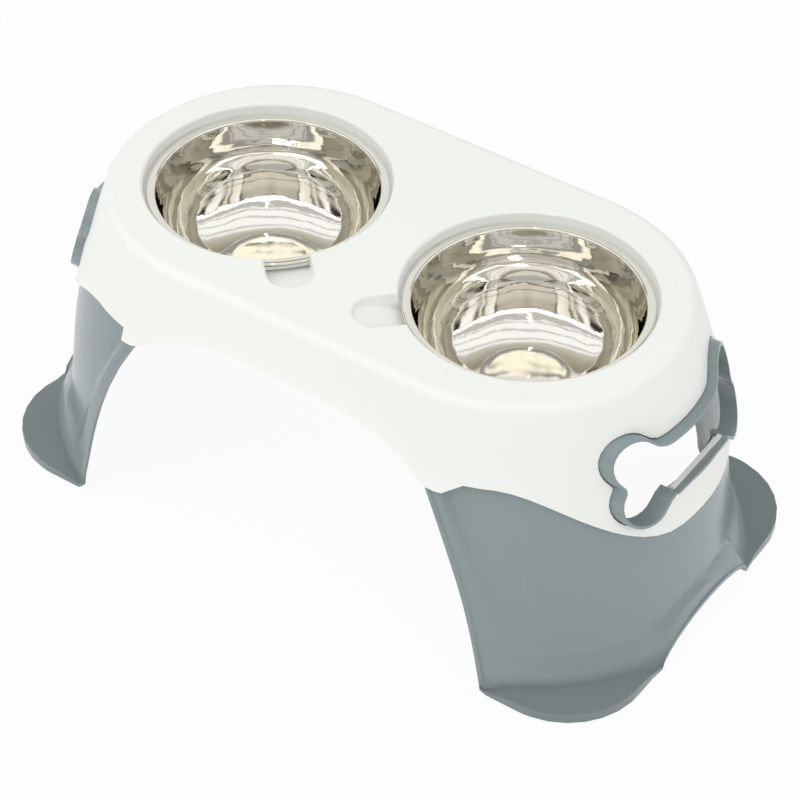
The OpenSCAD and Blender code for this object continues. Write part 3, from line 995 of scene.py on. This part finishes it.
class STAND_OT_stage(bpy.types.Operator):
    """Lay the floor, light the stand and place the camera"""

    bl_idname = "stand.stage"
    bl_label = "Stage"

    def execute(self, context):
        scene = context.scene
        stage = scene.stand_stage
        self.floor(stage)
        self.world(scene, stage)
        area_lamp("key_lamp", KEY_PLACE, KEY_SIZE, stage.key_power)
        area_lamp("fill_lamp", FILL_PLACE, FILL_SIZE, stage.fill_power)
        # A narrow strip above the camera, the one lamp that glossy surfaces show
        strip = area_lamp("strip_lamp", STRIP_PLACE, STRIP_WIDTH, stage.strip_power)
        strip.data.shape = "RECTANGLE"
        strip.data.size_y = STRIP_LENGTH
        strip.visible_glossy = True
        data = bpy.data.cameras.new("camera")
        data.lens = stage.lens
        data.sensor_width = SENSOR_WIDTH
        data.sensor_fit = "HORIZONTAL"
        data.clip_start = CLIP_NEAR
        data.clip_end = CLIP_FAR
        camera = bpy.data.objects.new("camera", data)
        camera.matrix_world = camera_matrix(stage, (0, 0, RIM_H))
        scene.collection.objects.link(camera)
        scene.camera = camera
        scene.view_settings.view_transform = "Standard"
        return {"FINISHED"}

    def floor(self, stage):
        """A pale floor that shows as white, with a faint shadow."""
        mesh = bpy.data.meshes.new("floor")
        shape = bmesh.new()
        bmesh.ops.create_grid(shape, x_segments=1, y_segments=1, size=FLOOR_HALF)
        shape.to_mesh(mesh)
        shape.free()
        floor = bpy.data.objects.new("floor", mesh)
        bpy.context.scene.collection.objects.link(floor)
        material = bpy.data.materials.new("pale_floor")
        material.use_nodes = True
        tree = material.node_tree
        tree.nodes.clear()
        out = add_node(tree, "ShaderNodeOutputMaterial", (500, 0))
        matt = add_node(tree, "ShaderNodeBsdfDiffuse", (0, 100), Color=(*stage.floor_colour, 1))
        glow = add_node(tree, "ShaderNodeEmission", (0, -100), Strength=1.0)
        mix = add_node(tree, "ShaderNodeMixShader", (250, 0))
        share = calculate(tree, "MULTIPLY", (0, 300), self.shown(tree), stage.background_share)
        link(tree, share, mix.inputs["Fac"])
        link(tree, matt.outputs[0], mix.inputs[1])
        link(tree, glow.outputs[0], mix.inputs[2])
        link(tree, mix.outputs[0], out.inputs["Surface"])
        mesh.materials.append(material)

    def shown(self, tree):
        """1 for the rays that show the background: to the camera, in metal and through glass."""
        path = add_node(tree, "ShaderNodeLightPath", (-700, 300))
        total = path.outputs["Is Camera Ray"]
        for name in ("Is Glossy Ray", "Is Transmission Ray"):
            total = calculate(tree, "MAXIMUM", (-400, 300), total, path.outputs[name])
        return total

    def world(self, scene, stage):
        """Even light from all round, and the studio for the rays that show it."""
        world = bpy.data.worlds.new("studio")
        scene.world = world
        world.use_nodes = True
        tree = world.node_tree
        tree.nodes.clear()
        out = add_node(tree, "ShaderNodeOutputWorld", (700, 0))
        even = add_node(tree, "ShaderNodeBackground", (200, 200), Color=(1, 1, 1, 1))
        add_values(even, Strength=stage.world_level)
        seen = add_node(tree, "ShaderNodeBackground", (200, 0), Strength=1.0)
        mix = add_node(tree, "ShaderNodeMixShader", (450, 0))
        link(tree, self.studio(tree, stage), seen.inputs["Color"])
        link(tree, self.shown(tree), mix.inputs["Fac"])
        link(tree, even.outputs[0], mix.inputs[1])
        link(tree, seen.outputs[0], mix.inputs[2])
        link(tree, mix.outputs[0], out.inputs["Surface"])

    def studio(self, tree, stage):
        """White for the camera; metal reflects a pale room with warm and dark tones in it."""
        coords = add_node(tree, "ShaderNodeTexCoord", (-2100, -300))
        turn = add_node(tree, "ShaderNodeVectorRotate", (-1900, -300), rotation_type="Z_AXIS")
        add_values(turn, Angle=-stage.camera_turn)
        link(tree, coords.outputs["Generated"], turn.inputs["Vector"])
        drift = add_node(tree, "ShaderNodeTexNoise", (-1700, -500), Scale=TONE_DRIFT_SCALE)
        add_values(drift, Detail=3.0)
        link(tree, turn.outputs[0], drift.inputs["Vector"])
        parts = add_node(tree, "ShaderNodeSeparateXYZ", (-1700, -300))
        link(tree, turn.outputs[0], parts.inputs[0])
        x, y, z = parts.outputs
        # 0 is level with the camera's side, 0.5 overhead and 1 level behind the object
        front = calculate(tree, "MULTIPLY", (-1500, -400), y, -1.0)
        wide = calculate(tree, "MULTIPLY", (-1500, -600), x, x)
        bowed = calculate(tree, "MULTIPLY_ADD", (-1400, -500), wide, TONE_BOW, front)
        angle = calculate(tree, "ARCTAN2", (-1300, -300), z, bowed)
        overhead = calculate(
            tree, "MULTIPLY_ADD", (-1100, -300), angle, 1 / math.pi, OVERHEAD_SHIFT
        )
        across = calculate(tree, "MULTIPLY_ADD", (-1100, -600), x, 0.5, ACROSS_SHIFT)
        tones = []
        for share, stops, height in (
            (overhead, tones_overhead(), -300),
            (across, tones_across(), -600),
        ):
            moved = calculate(
                tree, "MULTIPLY_ADD", (-900, height), drift.outputs["Fac"], TONE_DRIFT, share
            )
            ramp = add_node(tree, "ShaderNodeValToRGB", (-700, height))
            ramp_stops(ramp, stops)
            link(tree, moved, ramp.inputs["Fac"])
            tones.append(ramp)
        mixed = add_node(tree, "ShaderNodeMix", (-200, -400), data_type="RGBA", blend_type="MIX")
        link(tree, tones[0].outputs["Alpha"], mixed.inputs["Factor"])
        link(tree, tones[1].outputs["Color"], mixed.inputs[6])
        link(tree, tones[0].outputs["Color"], mixed.inputs[7])
        path = add_node(tree, "ShaderNodeLightPath", (-200, -100))
        pick = add_node(tree, "ShaderNodeMix", (0, -200), data_type="RGBA", blend_type="MIX")
        link(tree, path.outputs["Is Camera Ray"], pick.inputs["Factor"])
        link(tree, mixed.outputs[2], pick.inputs[6])
        pick.inputs[7].default_value = (1, 1, 1, 1)
        return pick.outputs[2]


class STAND_PT_panel(bpy.types.Panel):
    """The stand's pieces in the sidebar of the 3D view"""

    bl_idname = "STAND_PT_panel"
    bl_label = "Feeding stand"
    bl_space_type = "VIEW_3D"
    bl_region_type = "UI"
    bl_category = "Stand"

    def draw(self, context):
        layout = self.layout
        for operator in OPERATORS:
            layout.operator(operator.bl_idname)
        for name, label, _group in GROUPS:
            box = layout.box()
            box.label(text=label)
            settings = getattr(context.scene, name)
            for setting in settings.__annotations__:
                box.prop(settings, setting)


OPERATORS = (STAND_OT_shell, STAND_OT_legs, STAND_OT_bowls, STAND_OT_pads, STAND_OT_stage)
GROUPS = (
    ("stand_finish", "Finish", FinishSettings),
    ("stand_bowls", "Bowls", BowlSettings),
    ("stand_stage", "Stage", StageSettings),
)


def register():
    """Adds the settings, operators and panel to Blender."""
    for name, _label, group in GROUPS:
        bpy.utils.register_class(group)
        setattr(bpy.types.Scene, name, PointerProperty(type=group))
    for cls in (*OPERATORS, STAND_PT_panel):
        bpy.utils.register_class(cls)


def unregister():
    """Takes them out again."""
    for cls in reversed((*OPERATORS, STAND_PT_panel)):
        bpy.utils.unregister_class(cls)
    for name, _label, group in reversed(GROUPS):
        delattr(bpy.types.Scene, name)
        bpy.utils.unregister_class(group)


def main():
    """Builds the finished stand and its stage."""
    register()
    bpy.ops.stand.shell()
    bpy.ops.stand.legs()
    bpy.ops.stand.bowls()
    bpy.ops.stand.pads()
    bpy.ops.stand.stage()


if __name__ == "__main__":
    main()
